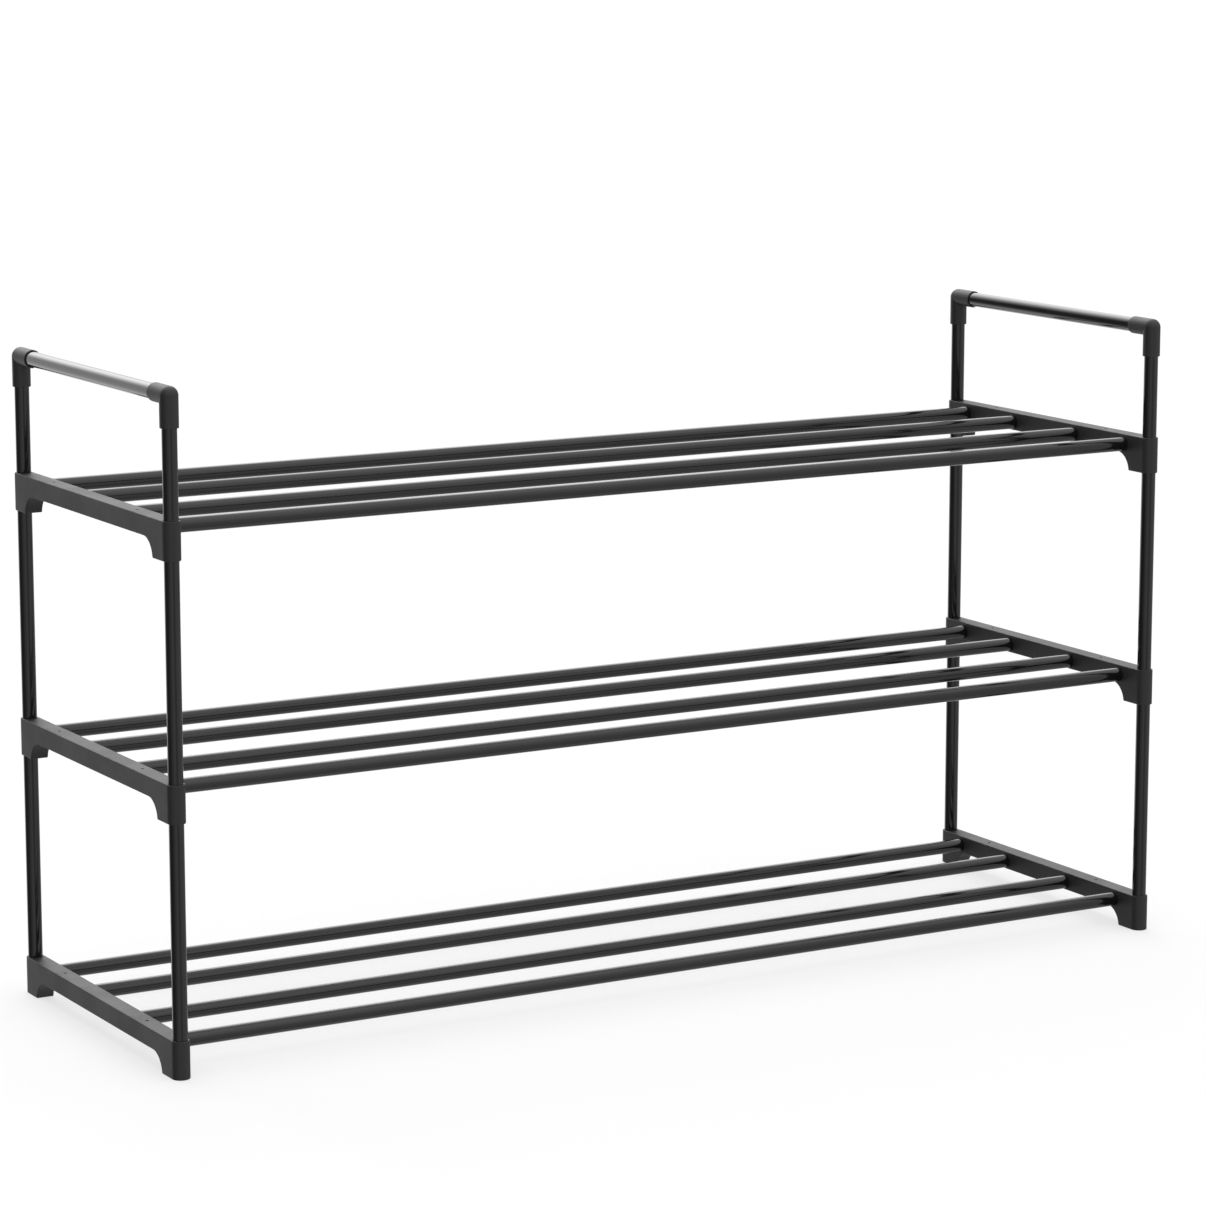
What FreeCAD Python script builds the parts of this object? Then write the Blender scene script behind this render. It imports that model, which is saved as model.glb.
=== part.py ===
"""Three-tier stacking shoe rack, modelled at real size in millimetres.

Frame: +X along the shelves, +Y from front to rear, +Z up. The origin is on the floor, at the
centre of the rack's footprint. Two moulded side frames and four shelf tubes make one tier, the
tiers stack on post tubes, and a handle of tubes and elbows stands on each end of the top tier.
"""
import FreeCAD, Part
import math
import os

import Sketcher
from FreeCAD import Placement, Rotation, Vector

DIMENSIONS = [
    # alias, value in mm, meaning
    ("post_spacing_x", 905.4, "between post axes, left to right"),
    ("post_spacing_y", 285.2, "between post axes, front to rear"),
    ("lower_pitch", 198.7, "from the lower tier to the middle one"),
    ("upper_pitch", 200.2, "from the middle tier to the upper one"),
    ("frame_width", 14.6, "side frame, boss and elbow diameter"),
    ("frame_height", 30.3, "side frame, foot to rail top"),
    ("rail_underside", 14.8, "rail underside above the boss's foot"),
    ("gusset_foot", 19.0, "from post axis to the gusset's edge at the foot"),
    ("arch_radius", 16.5, "arch between gusset and rail"),
    ("frame_fillet", 0.7, "rounding of the side frame's edges"),
    ("post_diameter", 11.8, "post and handle post tube"),
    ("bar_diameter", 12.4, "handle bar tube"),
    ("shelf_diameter", 11.8, "shelf tube"),
    ("tube_wall", 0.6, "wall of every tube"),
    ("socket_play", 0.1, "how much wider a socket is than its tube"),
    ("post_socket_depth", 12.0, "socket in a side frame's boss"),
    ("shelf_socket_depth", 10.0, "socket in a side frame's inner face"),
    ("shelf_axis", 21.9, "shelf tube axis above the boss's foot"),
    ("shelf_inner", 45.1, "inner shelf tubes from the middle"),
    ("shelf_outer", 116.4, "outer shelf tubes from the middle"),
    ("mark_offset", 81.0, "moulding marks from the middle"),
    ("mark_diameter", 2.6, "moulding mark"),
    ("mark_depth", 0.8, "moulding mark"),
    ("handle_axis", 522.7, "handle bar axis above the floor"),
    ("elbow_leg", 24.3, "from the elbow's corner to each mouth"),
    ("elbow_core", 6.5, "solid plastic between the corner and each socket"),
    ("elbow_fillet", 0.5, "rounding of the elbow's mouths"),
]
TIERS = ["lower", "middle", "upper"]
STOREYS = ["lower", "upper"]
PITCHES = ["Sizes.lower_pitch", "Sizes.upper_pitch"]
ENDS = {"left": -1, "right": 1}
DEPTHS = {"front": -1, "rear": 1}
SHELF_ROWS = {
    "front": "-Sizes.shelf_outer",
    "mid_front": "-Sizes.shelf_inner",
    "mid_rear": "Sizes.shelf_inner",
    "rear": "Sizes.shelf_outer",
}
NEAR = 0.01

doc = FreeCAD.newDocument("shoe_rack")


def make_sheet():
    """Write the driving dimensions, each with an alias."""
    sheet = doc.addObject("Spreadsheet::Sheet", "Sizes")
    for row, (alias, value, meaning) in enumerate(DIMENSIONS, start=1):
        sheet.set(f"A{row}", alias)
        sheet.set(f"B{row}", str(value))
        sheet.set(f"C{row}", meaning)
        sheet.setAlias(f"B{row}", alias)
    doc.recompute()
    return sheet


sheet = make_sheet()


def size(alias):
    """Value of one driving dimension."""
    return float(sheet.get(alias))


def new_body(label, base, turn=0.0):
    """Empty body placed by three expressions and turned about +Z."""
    body = doc.addObject("PartDesign::Body", label)
    body.Label = label
    body.Placement = Placement(Vector(), Rotation(Vector(0, 0, 1), turn))
    for axis, expression in zip("xyz", base):
        body.setExpression(f"Placement.Base.{axis}", expression)
    return body


def new_sketch(body, name, plane, offset=None):
    """Sketch on one of the body's origin planes, moved along its normal by an expression."""
    sketch = body.newObject("Sketcher::SketchObject", f"{body.Name}_{name}")
    origin_plane = next(f for f in body.Origin.OriginFeatures if f.Role == plane)
    sketch.AttachmentSupport = [(origin_plane, "")]
    sketch.MapMode = "FlatFace"
    if offset:
        sketch.setExpression("AttachmentOffset.Base.z", offset)
    return sketch


def value_of(expression):
    """Value of an expression over the sheet's cells."""
    return float(sheet.evalExpression(expression))


def bind(sketch, kind, where, name, expression):
    """Add a dimension to a sketch and drive it from the sheet."""
    index = sketch.addConstraint(Sketcher.Constraint(kind, *where, value_of(expression)))
    sketch.renameConstraint(index, name)
    sketch.setExpression(f"Constraints.{name}", expression)


def place_point(sketch, geometry, point, name, across, upward):
    """Fix a sketch point at signed distances from the sketch's origin."""
    for axis, kind, expression in ((-2, "DistanceX", across), (-1, "DistanceY", upward)):
        if expression == "0":
            sketch.addConstraint(Sketcher.Constraint("PointOnObject", geometry, point, axis))
        else:
            bind(sketch, kind, (-1, 1, geometry, point), f"{name}_{kind}", expression)


def add_circle(sketch, name, diameter, across="0", upward="0"):
    """Circle with a driven centre and diameter."""
    centre = Vector(value_of(across), value_of(upward), 0)
    circle = Part.Circle(centre, Vector(0, 0, 1), value_of(diameter) / 2)
    index = sketch.addGeometry(circle, False)
    bind(sketch, "Diameter", (index,), f"{name}_diameter", diameter)
    place_point(sketch, index, 3, name, across, upward)


def add_pad(body, sketch, length, both_ways=False, backwards=False):
    """Pad a sketch to a driven length."""
    pad = body.newObject("PartDesign::Pad", f"{sketch.Name}_pad")
    pad.Profile = sketch
    pad.SideType = "Symmetric" if both_ways else "One side"
    pad.Reversed = backwards
    pad.setExpression("Length", length)
    return pad


def add_pocket(body, sketch, depth, both_ways=False, backwards=False):
    """Cut a sketch to a driven depth, against the sketch's normal unless backwards."""
    pocket = body.newObject("PartDesign::Pocket", f"{sketch.Name}_pocket")
    pocket.Profile = sketch
    pocket.SideType = "Symmetric" if both_ways else "One side"
    pocket.Reversed = backwards
    pocket.setExpression("Length", depth)
    return pocket


def add_fillet(body, feature, edge_names, radius):
    """Round named edges of a feature to a driven radius."""
    fillet = body.newObject("PartDesign::Fillet", f"{feature.Name}_fillet")
    fillet.Base = (feature, edge_names)
    fillet.setExpression("Radius", radius)
    return fillet


def outline_edges(shape, wanted):
    """Names of the edges whose bounding boxes pass a test."""
    return [f"Edge{i}" for i, edge in enumerate(shape.Edges, start=1) if wanted(edge.BoundBox)]


def draw_plan(sketch):
    """Side frame seen from above: a straight rail with half-round ends about the post axes."""
    half_width = size("frame_width") / 2
    half_depth = size("post_spacing_y") / 2
    rear = Part.Circle(Vector(0, half_depth, 0), Vector(0, 0, 1), half_width)
    front = Part.Circle(Vector(0, -half_depth, 0), Vector(0, 0, 1), half_width)
    corners = [Vector(u * half_width, v * half_depth, 0) for u, v in ((-1, 1), (-1, -1), (1, -1), (1, 1))]
    rear_arc = sketch.addGeometry(Part.ArcOfCircle(rear, 0, math.pi), False)
    outer_line = sketch.addGeometry(Part.LineSegment(corners[0], corners[1]), False)
    front_arc = sketch.addGeometry(Part.ArcOfCircle(front, math.pi, 2 * math.pi), False)
    inner_line = sketch.addGeometry(Part.LineSegment(corners[2], corners[3]), False)
    loop = [rear_arc, outer_line, front_arc, inner_line]
    for current, following in zip(loop, loop[1:] + loop[:1]):
        sketch.addConstraint(Sketcher.Constraint("Tangent", current, 2, following, 1))
    sketch.addConstraint(Sketcher.Constraint("Equal", rear_arc, front_arc))
    bind(sketch, "Diameter", (rear_arc,), "width", "Sizes.frame_width")
    place_point(sketch, rear_arc, 3, "rear_centre", "0", "Sizes.post_spacing_y / 2")
    place_point(sketch, front_arc, 3, "front_centre", "0", "-Sizes.post_spacing_y / 2")


def draw_underside(sketch):
    """Window under the rail: straight below the rail, with an arch down to each gusset's foot."""
    radius = size("arch_radius")
    rail = size("rail_underside")
    foot = size("post_spacing_y") / 2 - size("gusset_foot")
    rise = radius - rail
    reach = math.sqrt(radius ** 2 - rise ** 2)
    slope = math.atan2(rise, reach)
    front = Part.Circle(Vector(reach - foot, -rise, 0), Vector(0, 0, 1), radius)
    rear = Part.Circle(Vector(foot - reach, -rise, 0), Vector(0, 0, 1), radius)
    front_arch = sketch.addGeometry(Part.ArcOfCircle(front, math.pi / 2, math.pi - slope), False)
    rear_arch = sketch.addGeometry(Part.ArcOfCircle(rear, slope, math.pi / 2), False)
    crown = Part.LineSegment(Vector(reach - foot, rail, 0), Vector(foot - reach, rail, 0))
    crown_line = sketch.addGeometry(crown, False)
    base_line = sketch.addGeometry(Part.LineSegment(Vector(foot, 0, 0), Vector(-foot, 0, 0)), False)
    for arch, arch_end, crown_end in ((front_arch, 1, 1), (rear_arch, 2, 2)):
        sketch.addConstraint(Sketcher.Constraint("Tangent", arch, arch_end, crown_line, crown_end))
    sketch.addConstraint(Sketcher.Constraint("Coincident", rear_arch, 1, base_line, 1))
    sketch.addConstraint(Sketcher.Constraint("Coincident", front_arch, 2, base_line, 2))
    sketch.addConstraint(Sketcher.Constraint("Equal", front_arch, rear_arch))
    bind(sketch, "Radius", (front_arch,), "arch", "Sizes.arch_radius")
    edge = "Sizes.post_spacing_y / 2 - Sizes.gusset_foot"
    place_point(sketch, base_line, 1, "rear_foot", edge, "0")
    place_point(sketch, base_line, 2, "front_foot", f"-({edge})", "0")
    sketch.addConstraint(Sketcher.Constraint("Horizontal", crown_line))
    bind(sketch, "DistanceY", (-1, 1, crown_line, 1), "crown", "Sizes.rail_underside")


def draw_post_sockets(sketch):
    """One circle on each post axis."""
    diameter = "Sizes.post_diameter + Sizes.socket_play"
    for name, side in DEPTHS.items():
        add_circle(sketch, name, diameter, upward=f"{side} * Sizes.post_spacing_y / 2")


def draw_shelf_sockets(sketch):
    """Four circles where the shelf tubes enter the inner face."""
    diameter = "Sizes.shelf_diameter + Sizes.socket_play"
    for name, across in SHELF_ROWS.items():
        add_circle(sketch, name, diameter, across=across, upward="Sizes.shelf_axis")


def draw_marks(sketch):
    """Two small round moulding marks, midway between an inner and an outer shelf tube."""
    for name, side in DEPTHS.items():
        add_circle(sketch, name, "Sizes.mark_diameter", upward=f"{side} * Sizes.mark_offset")


def is_frame_rim(box):
    """True for a sharp edge of the side frame, false where two faces meet smoothly."""
    upright = box.YLength < NEAR and box.ZLength > NEAR
    smooth_cross = box.YLength < NEAR and box.XLength > NEAR and box.ZMin > NEAR
    return not upright and not smooth_cross


def tier_foot(storey):
    """Expression for the height of a tier's foot, counting storeys up from the floor."""
    return " + ".join(PITCHES[:storey]) or "0"


def make_side_frame(tier, end):
    """Moulded side frame. Its own +X is its inner face, so the right-hand one is turned round."""
    base = (f"{ENDS[end]} * Sizes.post_spacing_x / 2", "0", tier_foot(TIERS.index(tier)))
    turn = 0 if end == "left" else 180
    body = new_body(f"side_frame_{tier}_{end}", base, turn)
    plan = new_sketch(body, "plan", "XY_Plane")
    draw_plan(plan)
    add_pad(body, plan, "Sizes.frame_height")
    underside = new_sketch(body, "underside", "YZ_Plane")
    draw_underside(underside)
    window = add_pocket(body, underside, "2 * Sizes.frame_width", both_ways=True)
    doc.recompute()
    add_fillet(body, window, outline_edges(window.Shape, is_frame_rim), "Sizes.frame_fillet")
    top_sockets = new_sketch(body, "top_sockets", "XY_Plane", "Sizes.frame_height")
    draw_post_sockets(top_sockets)
    add_pocket(body, top_sockets, "Sizes.post_socket_depth")
    if tier != "lower":
        low_sockets = new_sketch(body, "low_sockets", "XY_Plane")
        draw_post_sockets(low_sockets)
        add_pocket(body, low_sockets, "Sizes.post_socket_depth", backwards=True)
    shelf_sockets = new_sketch(body, "shelf_sockets", "YZ_Plane", "Sizes.frame_width / 2")
    draw_shelf_sockets(shelf_sockets)
    add_pocket(body, shelf_sockets, "Sizes.shelf_socket_depth")
    marks = new_sketch(body, "marks", "XY_Plane", "Sizes.frame_height")
    draw_marks(marks)
    add_pocket(body, marks, "Sizes.mark_depth")
    return body


def make_tube(label, base, plane, diameter, length, both_ways):
    """Thin-walled round tube along the normal of one of its body's planes."""
    body = new_body(label, base)
    ring = new_sketch(body, "ring", plane)
    add_circle(ring, "outside", diameter)
    add_circle(ring, "inside", f"{diameter} - 2 * Sizes.tube_wall")
    add_pad(body, ring, length, both_ways)
    return body


def make_shelf_tube(tier, row):
    """Shelf tube from the bottom of one side frame's socket to the other's."""
    height = f"{tier_foot(TIERS.index(tier))} + Sizes.shelf_axis"
    length = "Sizes.post_spacing_x - Sizes.frame_width + 2 * Sizes.shelf_socket_depth"
    base = ("0", SHELF_ROWS[row], height)
    return make_tube(f"shelf_tube_{tier}_{row}", base, "YZ_Plane", "Sizes.shelf_diameter", length, True)


def corner(depth, end):
    """Expressions for the place of a post axis."""
    return f"{ENDS[end]} * Sizes.post_spacing_x / 2", f"{DEPTHS[depth]} * Sizes.post_spacing_y / 2"


def post_foot(storey):
    """Expression for the height where a post stands in the side frame below it."""
    return f"{tier_foot(storey)} + Sizes.frame_height - Sizes.post_socket_depth"


def make_post(storey, depth, end):
    """Post tube between the side frames of two tiers."""
    level = STOREYS.index(storey)
    base = (*corner(depth, end), post_foot(level))
    length = f"{PITCHES[level]} - Sizes.frame_height + 2 * Sizes.post_socket_depth"
    label = f"post_{storey}_{depth}_{end}"
    return make_tube(label, base, "XY_Plane", "Sizes.post_diameter", length, False)


def make_handle_post(depth, end):
    """Short post from the upper side frame to the elbow."""
    foot = post_foot(len(STOREYS))
    base = (*corner(depth, end), foot)
    length = f"Sizes.handle_axis - Sizes.elbow_core - ({foot})"
    return make_tube(f"handle_post_{depth}_{end}", base, "XY_Plane", "Sizes.post_diameter", length, False)


def make_handle_bar(end):
    """Handle bar from the front elbow to the rear elbow of one end."""
    base = (f"{ENDS[end]} * Sizes.post_spacing_x / 2", "0", "Sizes.handle_axis")
    length = "Sizes.post_spacing_y - 2 * Sizes.elbow_core"
    return make_tube(f"handle_bar_{end}", base, "XZ_Plane", "Sizes.bar_diameter", length, True)


def draw_half_disc(sketch):
    """Half disc whose straight side lies on the sketch's vertical axis."""
    radius = size("frame_width") / 2
    circle = Part.Circle(Vector(), Vector(0, 0, 1), radius)
    arc = sketch.addGeometry(Part.ArcOfCircle(circle, -math.pi / 2, math.pi / 2), False)
    chord = sketch.addGeometry(Part.LineSegment(Vector(0, radius, 0), Vector(0, -radius, 0)), False)
    sketch.addConstraint(Sketcher.Constraint("Coincident", arc, 2, chord, 1))
    sketch.addConstraint(Sketcher.Constraint("Coincident", chord, 2, arc, 1))
    sketch.addConstraint(Sketcher.Constraint("Coincident", arc, 3, -1, 1))
    sketch.addConstraint(Sketcher.Constraint("PointOnObject", arc, 1, -2))
    sketch.addConstraint(Sketcher.Constraint("PointOnObject", arc, 2, -2))
    bind(sketch, "Radius", (arc,), "ball", "Sizes.frame_width / 2")


def is_elbow_mouth(box):
    """True for the round rim at the end of either leg."""
    leg = size("elbow_leg")
    return abs(box.ZMax + leg) < NEAR or abs(box.YMin - leg) < NEAR


def make_elbow(depth, end):
    """Elbow with a ball corner, one leg down and one leg towards the middle of the rack."""
    base = (*corner(depth, end), "Sizes.handle_axis")
    turn = 0 if depth == "front" else 180
    body = new_body(f"elbow_{depth}_{end}", base, turn)
    for name, plane in (("down", "XY_Plane"), ("along", "XZ_Plane")):
        leg = new_sketch(body, name, plane)
        add_circle(leg, name, "Sizes.frame_width")
        add_pad(body, leg, "Sizes.elbow_leg", backwards=True)
    half_disc = new_sketch(body, "half_disc", "XZ_Plane")
    draw_half_disc(half_disc)
    ball = body.newObject("PartDesign::Revolution", f"{body.Name}_ball")
    ball.Profile = half_disc
    ball.ReferenceAxis = (half_disc, ["V_Axis"])
    ball.Angle = 360
    doc.recompute()
    add_fillet(body, ball, outline_edges(ball.Shape, is_elbow_mouth), "Sizes.elbow_fillet")
    for name, plane, tube in (("down_socket", "XY_Plane", "post"), ("along_socket", "XZ_Plane", "bar")):
        socket = new_sketch(body, name, plane, "-Sizes.elbow_leg")
        add_circle(socket, name, f"Sizes.{tube}_diameter + Sizes.socket_play")
        add_pocket(body, socket, "Sizes.elbow_leg - Sizes.elbow_core", backwards=True)
    return body


def make_rack():
    """Every piece of the rack."""
    pieces = []
    for tier in TIERS:
        pieces += [make_side_frame(tier, end) for end in ENDS]
        pieces += [make_shelf_tube(tier, row) for row in SHELF_ROWS]
    for end in ENDS:
        for depth in DEPTHS:
            pieces += [make_post(storey, depth, end) for storey in STOREYS]
            pieces.append(make_handle_post(depth, end))
            pieces.append(make_elbow(depth, end))
        pieces.append(make_handle_bar(end))
    return pieces


def check(pieces):
    """Stop if a feature failed, a cut removed nothing, or a piece isn't one valid solid."""
    for item in doc.Objects:
        if "Invalid" in item.State or "Error" in item.State:
            raise RuntimeError(f"{item.Name} failed: {item.State}")
        if item.TypeId == "PartDesign::Pocket" and item.Shape.Volume >= item.BaseFeature.Shape.Volume:
            raise RuntimeError(f"{item.Name} cut nothing")
    for piece in pieces:
        shape = piece.Shape
        if shape.isNull() or not shape.isValid() or len(shape.Solids) != 1:
            raise RuntimeError(f"{piece.Label} isn't one valid solid")


rack = make_rack()
doc.recompute()
check(rack)
os.makedirs("parts", exist_ok=True)
for piece in rack:
    piece.Shape.exportStep(f"parts/{piece.Label}.step")
print(f"{len(rack)} parts written")
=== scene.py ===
"""Looks of the tiered shoe rack: gloss-black tubes pushed into matte black moulded side frames."""

import math

import bmesh
import bpy
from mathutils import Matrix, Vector


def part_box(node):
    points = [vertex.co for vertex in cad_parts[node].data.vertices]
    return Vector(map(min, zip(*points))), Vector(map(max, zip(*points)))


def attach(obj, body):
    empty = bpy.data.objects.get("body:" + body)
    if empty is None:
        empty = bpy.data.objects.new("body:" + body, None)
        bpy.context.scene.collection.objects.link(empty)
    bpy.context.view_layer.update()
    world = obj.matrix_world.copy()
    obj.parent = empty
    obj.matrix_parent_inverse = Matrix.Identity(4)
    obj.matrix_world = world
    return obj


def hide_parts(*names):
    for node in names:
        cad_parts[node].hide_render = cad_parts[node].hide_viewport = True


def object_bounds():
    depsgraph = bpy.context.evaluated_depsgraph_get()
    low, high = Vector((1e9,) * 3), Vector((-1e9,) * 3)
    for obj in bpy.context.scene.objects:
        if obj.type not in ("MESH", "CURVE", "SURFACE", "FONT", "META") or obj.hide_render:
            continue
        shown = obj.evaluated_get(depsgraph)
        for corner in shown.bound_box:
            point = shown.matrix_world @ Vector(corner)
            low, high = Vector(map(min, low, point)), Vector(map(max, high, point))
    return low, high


# ---- sizes, in metres ----
TUBE_DIAMETER = 0.0118
BAR_DIAMETER = 0.0124       # the handle bars
TUBE_WALL = 0.0006
TUBE_LIP = 0.00015          # rounding of a tube's cut ends
LIP_MIDDLE = 0.3            # where the rounding's middle ring is, as a part of the lip
TUBE_SEGMENTS = 72          # facets round a tube
TUBE_BAY = 0.05             # length of one ring of facets along a tube
SHARP_ANGLE = math.radians(15)

# ---- materials ----
# A noise is its scale in repeats per metre, its detail and its roughness. A spread is the pair of
# factors between which a noise moves a tint or a roughness. Heights are in metres.
BLACK_IOR = 1.5
NOISE_MIDDLE = (0.3, 0.7)           # where most of a noise's values lie

SHELF_TINT = (0.0045, 0.0045, 0.005)
SHELF_ROUGHNESS = 0.10
POST_TINT = (0.004, 0.004, 0.0045)
POST_ROUGHNESS = 0.09
SWELL_NOISE = (26.0, 3.0, 0.5)      # slow change of the coating's tint and gloss
SWELL_TINT_SPREAD = (0.7, 1.4)
SWELL_ROUGHNESS_SPREAD = (0.8, 1.25)
PEEL_NOISE = (420.0, 2.0, 0.5)      # orange peel
PEEL_HEIGHT = 0.000004
DUST_NOISE = (1900.0, 2.0, 0.7)
DUST_EDGE = (0.64, 0.74)            # noise from which a speck of dust starts, and is whole
DUST_TINT = (0.03, 0.03, 0.032)
DUST_COVER = 0.25
DUST_ROUGHNESS = 0.1                # added under a speck

PLASTIC_TINT = (0.008, 0.008, 0.0085)
FRAME_ROUGHNESS = 0.56
ELBOW_ROUGHNESS = 0.52
FLOW_NOISE = (30.0, 4.0, 0.6)       # flow marks in the plastic
FLOW_TINT_SPREAD = (0.85, 1.2)
FLOW_ROUGHNESS_SPREAD = (0.95, 1.05)
GRAIN_NOISE = (1500.0, 3.0, 0.6)    # texture of the mould
GRAIN_HEIGHT = 0.00003
EDGE_RADIUS = 0.0006                # of the rounded normal that finds the edges
EDGE_SAMPLES = 4
EDGE_COSINES = (0.99, 0.80)         # between true and rounded normal: bare, and fully worn with full painted highlight
WEAR_AND_HIGHLIGHT_LEAST = 0.3                    # part of the wear and painted edge highlight that is left where the flow noise is low
# lighter colour along the plastic's edges: partly wear, partly a painted edge highlight
WEAR_AND_HIGHLIGHT_TINT = (0.035, 0.035, 0.037)
WEAR_AND_HIGHLIGHT_COVER = 0.5
WEAR_ROUGHNESS = -0.08              # added on a worn edge

# sockets of a Mix node that mixes colours
MIX_FACTOR = 0
MIX_FIRST = 6
MIX_SECOND = 7
MIX_RESULT = 2

# ---- camera ----
CAMERA_TURN = 30.0          # degrees to the left of the front
CAMERA_LIFT = 10.1          # degrees above the horizon
CAMERA_DISTANCE = 3.4945    # metres from the point it is aimed at
CAMERA_LENS = 125.8         # millimetres, on a 36 mm sensor
CAMERA_REACH = 200.0        # metres, past the far edge of the floor
AIM_RISE = 0.0397           # height of that point above the middle of the rack's box

# ---- floor ----
FLOOR_HALF = 40.0           # metres from its middle to its edge
FLOOR_CELLS = 8             # along each side
FLOOR_NOISE = (3.0, 3.0, 0.5)
FLOOR_PALE = 0.25           # the floor's own lightness
FLOOR_PALE_SPREAD = (0.99, 1.01)
FLOOR_ROUGHNESS = 0.9
FLOOR_GLOW = 0.645          # what makes up the rest of its white

# ---- studio ----
# The lit walls and soft boxes are painted on the world by direction. Bearings run clockwise from
# the back, +Y towards +X, and their seam is in the dark left wall. All angles are in degrees.
WHITE = (1.0, 1.0, 1.0)
BACKDROP_WHITE = 1.0        # what the camera sees behind the rack
BEARING_SEAM = -60.0
LIT_WALLS = [
    # bearing from, softness, to, softness, radiance
    (-30.0, 5.0, 42.0, 7.0, 1.16),          # back
    (42.0, 7.0, 105.0, 12.0, 0.44),         # right
    (105.0, 12.0, 148.0, 8.0, 0.63),        # front right
    (148.0, 8.0, 163.0, 5.0, 0.70),         # front
    (163.0, 5.0, 192.0, 6.0, 0.34),         # gap in the front wall
    (192.0, 6.0, 243.0, 42.0, 0.68),        # front left
]
SOFT_BOXES = [
    # bearings as above, elevation from, softness, to, softness, extra radiance
    ((-14.0, 14.0, 20.0, 12.0), (17.0, 9.0, 54.0, 12.0), 2.45),     # behind the rack
    ((20.0, 12.0, 50.0, 12.0), (20.0, 9.0, 50.0, 12.0), 1.95),      # behind it to the right
    ((-19.0, 9.0, 18.0, 14.0), (-42.0, 10.0, -14.0, 8.0), 0.35),    # floor behind the rack
    ((147.0, 6.0, 167.0, 8.0), (8.0, 12.0, 70.0, 15.0), 0.27),      # over the front
]
ROOM_DIM = 0.14             # radiance of the unlit walls
CEILING = 1.08              # extra radiance straight up
CEILING_RISE = (5.0, 75.0)  # elevations over which it comes in
WALL_DROP = 0.30            # part of the lit walls' radiance that is lost towards the floor
WALL_FALL = (-60.0, 0.0)    # elevations over which it is lost
UNDERSIDE = 0.50            # extra radiance straight down, from the pale floor
UNDERSIDE_RISE = (-40.0, -85.0)     # elevations over which it comes in


def node_tree(owner):
    """An empty shader node tree on a material or world."""
    owner.use_nodes = True
    tree = owner.node_tree
    tree.nodes.clear()
    return tree


def add(tree, kind, **settings):
    """Adds one node and sets its properties."""
    node = tree.nodes.new(kind)
    for key, value in settings.items():
        setattr(node, key, value)
    return node


def feed(tree, value, socket):
    """Joins an output socket to an input socket, or sets a fixed value on it."""
    if isinstance(value, bpy.types.NodeSocket):
        tree.links.new(value, socket)
    else:
        socket.default_value = value


def maths(tree, operation, *values):
    """One Math node; returns its output."""
    node = add(tree, "ShaderNodeMath", operation=operation)
    for value, socket in zip(values, node.inputs):
        feed(tree, value, socket)
    return node.outputs[0]


def smooth_range(tree, value, low, high, to_low=0.0, to_high=1.0):
    """Smoothly maps low..high to to_low..to_high and clamps outside."""
    node = add(tree, "ShaderNodeMapRange", interpolation_type="SMOOTHSTEP")
    feed(tree, value, node.inputs["Value"])
    for name, number in (
        ("From Min", low),
        ("From Max", high),
        ("To Min", to_low),
        ("To Max", to_high),
    ):
        node.inputs[name].default_value = number
    return node.outputs["Result"]


def noise(tree, vector, scale, detail, roughness):
    """Fractal noise over a space, from 0 to 1."""
    node = add(tree, "ShaderNodeTexNoise")
    feed(tree, vector, node.inputs["Vector"])
    node.inputs["Scale"].default_value = scale
    node.inputs["Detail"].default_value = detail
    node.inputs["Roughness"].default_value = roughness
    return node.outputs["Fac"]


def opaque(tint, factor=1.0):
    """A tint brightened or dimmed by a factor, with its alpha."""
    return (*(channel * factor for channel in tint), 1.0)


def mix_colours(tree, fac, first, second):
    """A colour between two, each of them fixed or from a node."""
    node = add(tree, "ShaderNodeMix", data_type="RGBA")
    feed(tree, fac, node.inputs[MIX_FACTOR])
    feed(tree, first, node.inputs[MIX_FIRST])
    feed(tree, second, node.inputs[MIX_SECOND])
    return node.outputs[MIX_RESULT]


def spread_tint(tree, value, tint, spread):
    """A tint that a 0..1 value moves between the two factors of a spread."""
    low, high = spread
    return mix_colours(tree, value, opaque(tint, low), opaque(tint, high))


def spread_roughness(tree, value, roughness, spread):
    """A roughness that a noise moves between the two factors of a spread."""
    low, high = spread
    return smooth_range(tree, value, *NOISE_MIDDLE, roughness * low, roughness * high)


def bump(tree, height, distance):
    """Turns a 0..1 height into a bump of that many metres."""
    node = add(tree, "ShaderNodeBump")
    node.inputs["Distance"].default_value = distance
    feed(tree, height, node.inputs["Height"])
    return node.outputs["Normal"]


def new_material(name):
    """A material with a Principled shader joined to its output, and the object's own space."""
    material = bpy.data.materials.new(name)
    tree = node_tree(material)
    shader = add(tree, "ShaderNodeBsdfPrincipled")
    output = add(tree, "ShaderNodeOutputMaterial")
    tree.links.new(shader.outputs[0], output.inputs["Surface"])
    space = add(tree, "ShaderNodeTexCoord").outputs["Object"]
    return material, tree, shader, space


def tube_coating(name, tint, roughness):
    """Gloss black coating on steel tube: faint orange peel, dust and uneven gloss."""
    material, tree, shader, space = new_material(name)
    swell = noise(tree, space, *SWELL_NOISE)
    specks = smooth_range(tree, noise(tree, space, *DUST_NOISE), *DUST_EDGE)
    clean = spread_tint(tree, swell, tint, SWELL_TINT_SPREAD)
    cover = maths(tree, "MULTIPLY", specks, DUST_COVER)
    dusted = mix_colours(tree, cover, clean, opaque(DUST_TINT))
    feed(tree, dusted, shader.inputs["Base Color"])
    gloss = spread_roughness(tree, swell, roughness, SWELL_ROUGHNESS_SPREAD)
    dulled = maths(tree, "MULTIPLY_ADD", specks, DUST_ROUGHNESS, gloss)
    feed(tree, dulled, shader.inputs["Roughness"])
    peel = noise(tree, space, *PEEL_NOISE)
    feed(tree, bump(tree, peel, PEEL_HEIGHT), shader.inputs["Normal"])
    shader.inputs["IOR"].default_value = BLACK_IOR
    return material


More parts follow.
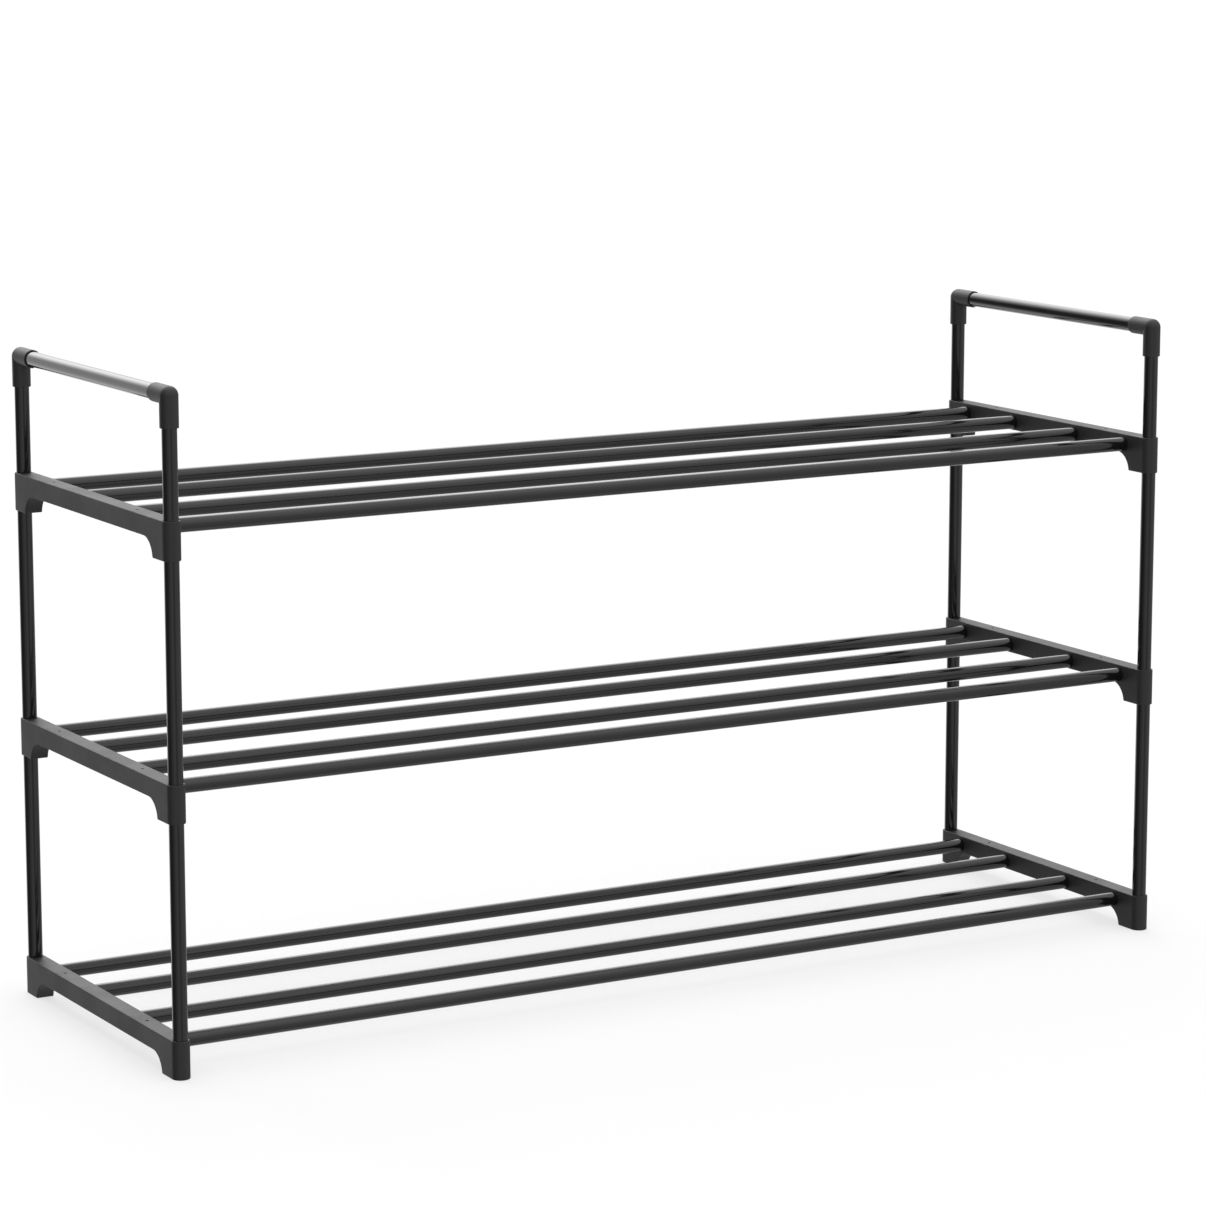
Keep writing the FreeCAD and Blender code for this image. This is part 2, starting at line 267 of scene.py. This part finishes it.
def edge_wear_and_highlight(tree, flow):
    """How worn and highlit an edge is, from 0 to 1, a mask of wear and painted edge highlight: all
    along it, and more where the flow noise is high.
    """
    edge = add(tree, "ShaderNodeBevel", samples=EDGE_SAMPLES)
    edge.inputs["Radius"].default_value = EDGE_RADIUS
    geometry = add(tree, "ShaderNodeNewGeometry")
    dot = add(tree, "ShaderNodeVectorMath", operation="DOT_PRODUCT")
    tree.links.new(edge.outputs[0], dot.inputs[0])
    tree.links.new(geometry.outputs["Normal"], dot.inputs[1])
    worn_and_highlit = smooth_range(tree, dot.outputs["Value"], *EDGE_COSINES)
    return maths(tree, "MULTIPLY", worn_and_highlit, smooth_range(tree, flow, *NOISE_MIDDLE, WEAR_AND_HIGHLIGHT_LEAST, 1.0))


def moulded_plastic(name, tint, roughness):
    """Matte black moulded plastic: fine spark texture, flow marks, slightly polished edges, and a
    lighter colour along the edges that is partly wear and partly painted highlight.
    """
    material, tree, shader, space = new_material(name)
    flow = noise(tree, space, *FLOW_NOISE)
    wear_and_highlight = edge_wear_and_highlight(tree, flow)
    fresh = spread_tint(tree, flow, tint, FLOW_TINT_SPREAD)
    cover = maths(tree, "MULTIPLY", wear_and_highlight, WEAR_AND_HIGHLIGHT_COVER)
    # lighter edges: partly wear, partly a painted edge highlight
    scuffed_and_highlit = mix_colours(tree, cover, fresh, opaque(WEAR_AND_HIGHLIGHT_TINT))
    feed(tree, scuffed_and_highlit, shader.inputs["Base Color"])
    matte = spread_roughness(tree, flow, roughness, FLOW_ROUGHNESS_SPREAD)
    polished = maths(tree, "MULTIPLY_ADD", wear_and_highlight, WEAR_ROUGHNESS, matte)
    feed(tree, polished, shader.inputs["Roughness"])
    grain = noise(tree, space, *GRAIN_NOISE)
    feed(tree, bump(tree, grain, GRAIN_HEIGHT), shader.inputs["Normal"])
    shader.inputs["IOR"].default_value = BLACK_IOR
    return material


def end_rings(radius):
    """Rings round one end of a tube, from inside to outside: (distance in from the end, radius)."""
    inner = radius - TUBE_WALL
    return [
        (TUBE_LIP, inner),
        (0.0, inner + TUBE_LIP),
        (0.0, radius - TUBE_LIP),
        (TUBE_LIP * LIP_MIDDLE, radius - TUBE_LIP * LIP_MIDDLE),
        (TUBE_LIP, radius),
    ]


def tube_rings(length, radius):
    """Every ring of the wall in order round the closed section: (place along the tube, radius)."""
    inner = radius - TUBE_WALL
    bays = max(1, round(length / TUBE_BAY))
    near = end_rings(radius)
    far = [(length - place, r) for place, r in reversed(near)]
    along = [length * i / bays for i in range(1, bays)]
    outside = [(place, radius) for place in along]
    inside = [(place, inner) for place in reversed(along)]
    return near + outside + far + inside


def build_tube(name, low, high, diameter):
    """A hollow tube filling the box low..high along its longest side."""
    size = high - low
    axis = max(range(3), key=lambda i: size[i])
    side, up = [i for i in range(3) if i != axis]
    middle = (low + high) / 2
    mesh = bmesh.new()
    loops = []
    for place, radius in tube_rings(size[axis], diameter / 2):
        loop = []
        for step in range(TUBE_SEGMENTS):
            turn = 2 * math.pi * step / TUBE_SEGMENTS
            point = Vector(middle)
            point[axis] = low[axis] + place
            point[side] += radius * math.cos(turn)
            point[up] += radius * math.sin(turn)
            loop.append(mesh.verts.new(point))
        loops.append(loop)
    for first, second in zip(loops, loops[1:] + loops[:1]):
        for step in range(TUBE_SEGMENTS):
            after = (step + 1) % TUBE_SEGMENTS
            mesh.faces.new((first[step], second[step], second[after], first[after]))
    bmesh.ops.recalc_face_normals(mesh, faces=mesh.faces)
    data = bpy.data.meshes.new(name)
    mesh.to_mesh(data)
    mesh.free()
    data.shade_smooth()
    data.set_sharp_from_angle(angle=SHARP_ANGLE)
    piece = bpy.data.objects.new(name, data)
    bpy.context.scene.collection.objects.link(piece)
    return piece


def replace_tube(node, material, diameter):
    """Stands a finely turned hollow tube in for one CAD tube."""
    low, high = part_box(node)
    piece = build_tube(node + "_fine", low, high, diameter)
    piece.data.materials.append(material)
    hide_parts(node)
    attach(piece, "root")


def dress_rack(nodes):
    """Finer tubes for the rack's tubes, and materials for every node."""
    coating = tube_coating("shelf_gloss_black", SHELF_TINT, SHELF_ROUGHNESS)
    post_paint = tube_coating("post_gloss_black", POST_TINT, POST_ROUGHNESS)
    frame_plastic = moulded_plastic("matte_black_plastic", PLASTIC_TINT, FRAME_ROUGHNESS)
    elbow_plastic = moulded_plastic("satin_black_plastic", PLASTIC_TINT, ELBOW_ROUGHNESS)
    for name, node in nodes.items():
        if name.startswith("shelf_tube"):
            replace_tube(name, coating, TUBE_DIAMETER)
        elif name.startswith("handle_bar"):
            replace_tube(name, post_paint, BAR_DIAMETER)
        elif name.startswith(("post", "handle_post")):
            replace_tube(name, post_paint, TUBE_DIAMETER)
        else:
            for slot in node.material_slots:
                slot.material = elbow_plastic if name.startswith("elbow") else frame_plastic


def window(tree, value, low, low_soft, high, high_soft):
    """1 between two angles and 0 outside, with soft ends."""
    opens = smooth_range(tree, value, low - low_soft, low + low_soft)
    closes = smooth_range(tree, value, high - high_soft, high + high_soft, 1.0, 0.0)
    return maths(tree, "MULTIPLY", opens, closes)


def studio_radiance(tree):
    """What the studio sends from a ray's direction: room, walls, soft boxes, ceiling and floor."""
    direction = add(tree, "ShaderNodeTexCoord").outputs["Generated"]
    split = add(tree, "ShaderNodeSeparateXYZ")
    tree.links.new(direction, split.inputs[0])
    x, y, z = split.outputs
    bearing = maths(tree, "DEGREES", maths(tree, "ARCTAN2", x, y))
    bearing = maths(tree, "WRAP", bearing, BEARING_SEAM + 360.0, BEARING_SEAM)
    elevation = maths(tree, "DEGREES", maths(tree, "ARCSINE", z))
    walls = 0.0
    for *edges, radiance in LIT_WALLS:
        walls = maths(tree, "MULTIPLY_ADD", window(tree, bearing, *edges), radiance, walls)
    wall_height = smooth_range(tree, elevation, *WALL_FALL, 1.0 - WALL_DROP, 1.0)
    total = maths(tree, "MULTIPLY_ADD", walls, wall_height, ROOM_DIM)
    for bearings, elevations, radiance in SOFT_BOXES:
        across = window(tree, bearing, *bearings)
        upward = window(tree, elevation, *elevations)
        box = maths(tree, "MULTIPLY", across, upward)
        total = maths(tree, "MULTIPLY_ADD", box, radiance, total)
    ceiling = smooth_range(tree, elevation, *CEILING_RISE, 0.0, CEILING)
    underside = smooth_range(tree, elevation, *UNDERSIDE_RISE, 0.0, UNDERSIDE)
    return maths(tree, "ADD", maths(tree, "ADD", total, ceiling), underside)


def make_studio():
    """World: plain white straight behind the rack, and the studio for all that lights it."""
    world = bpy.data.worlds.new("studio")
    bpy.context.scene.world = world
    tree = node_tree(world)
    lit = add(tree, "ShaderNodeBackground")
    lit.inputs["Color"].default_value = opaque(WHITE)
    feed(tree, studio_radiance(tree), lit.inputs["Strength"])
    backdrop = add(tree, "ShaderNodeBackground")
    backdrop.inputs["Color"].default_value = opaque(WHITE)
    backdrop.inputs["Strength"].default_value = BACKDROP_WHITE
    rays = add(tree, "ShaderNodeLightPath")
    either = add(tree, "ShaderNodeMixShader")
    tree.links.new(rays.outputs["Is Camera Ray"], either.inputs[0])
    tree.links.new(lit.outputs[0], either.inputs[1])
    tree.links.new(backdrop.outputs[0], either.inputs[2])
    output = add(tree, "ShaderNodeOutputWorld")
    tree.links.new(either.outputs[0], output.inputs["Surface"])


def floor_material():
    """Plain pale floor, very slightly mottled, that glows up to the backdrop's white."""
    material, tree, shader, space = new_material("pale_floor")
    mottle = noise(tree, space, *FLOOR_NOISE)
    pale = spread_tint(tree, mottle, [FLOOR_PALE] * 3, FLOOR_PALE_SPREAD)
    feed(tree, pale, shader.inputs["Base Color"])
    shader.inputs["Roughness"].default_value = FLOOR_ROUGHNESS
    shader.inputs["Specular IOR Level"].default_value = 0.0
    shader.inputs["Emission Color"].default_value = opaque(WHITE)
    shader.inputs["Emission Strength"].default_value = FLOOR_GLOW
    return material


def make_floor(height):
    """Plain pale floor under the feet."""
    mesh = bmesh.new()
    bmesh.ops.create_grid(mesh, x_segments=FLOOR_CELLS, y_segments=FLOOR_CELLS, size=FLOOR_HALF)
    data = bpy.data.meshes.new("floor")
    mesh.to_mesh(data)
    mesh.free()
    data.materials.append(floor_material())
    floor = bpy.data.objects.new("floor", data)
    floor.location.z = height
    floor.visible_glossy = False
    bpy.context.scene.collection.objects.link(floor)


def make_camera(low, high):
    """Camera to the left of the front, a little above, aimed just over the rack's middle."""
    turn = math.radians(CAMERA_TURN)
    lift = math.radians(CAMERA_LIFT)
    back = Vector((
        -math.sin(turn) * math.cos(lift),
        -math.cos(turn) * math.cos(lift),
        math.sin(lift),
    ))
    data = bpy.data.cameras.new("camera")
    data.lens = CAMERA_LENS
    data.clip_end = CAMERA_REACH
    camera = bpy.data.objects.new("camera", data)
    aim = (low + high) / 2 + Vector((0.0, 0.0, AIM_RISE))
    camera.location = aim + back * CAMERA_DISTANCE
    camera.rotation_euler = (math.pi / 2 - lift, 0.0, -turn)
    bpy.context.scene.collection.objects.link(camera)
    bpy.context.scene.camera = camera


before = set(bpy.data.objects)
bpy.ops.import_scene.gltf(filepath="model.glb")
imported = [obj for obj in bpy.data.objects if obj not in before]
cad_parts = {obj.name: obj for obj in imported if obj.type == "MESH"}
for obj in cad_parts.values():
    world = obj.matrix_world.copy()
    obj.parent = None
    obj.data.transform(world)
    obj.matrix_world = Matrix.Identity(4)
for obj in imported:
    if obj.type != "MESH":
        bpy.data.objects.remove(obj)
cad_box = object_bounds()
dress_rack(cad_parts)
make_studio()
make_floor(cad_box[0].z)
make_camera(*cad_box)
bpy.context.scene.view_settings.view_transform = "Standard"
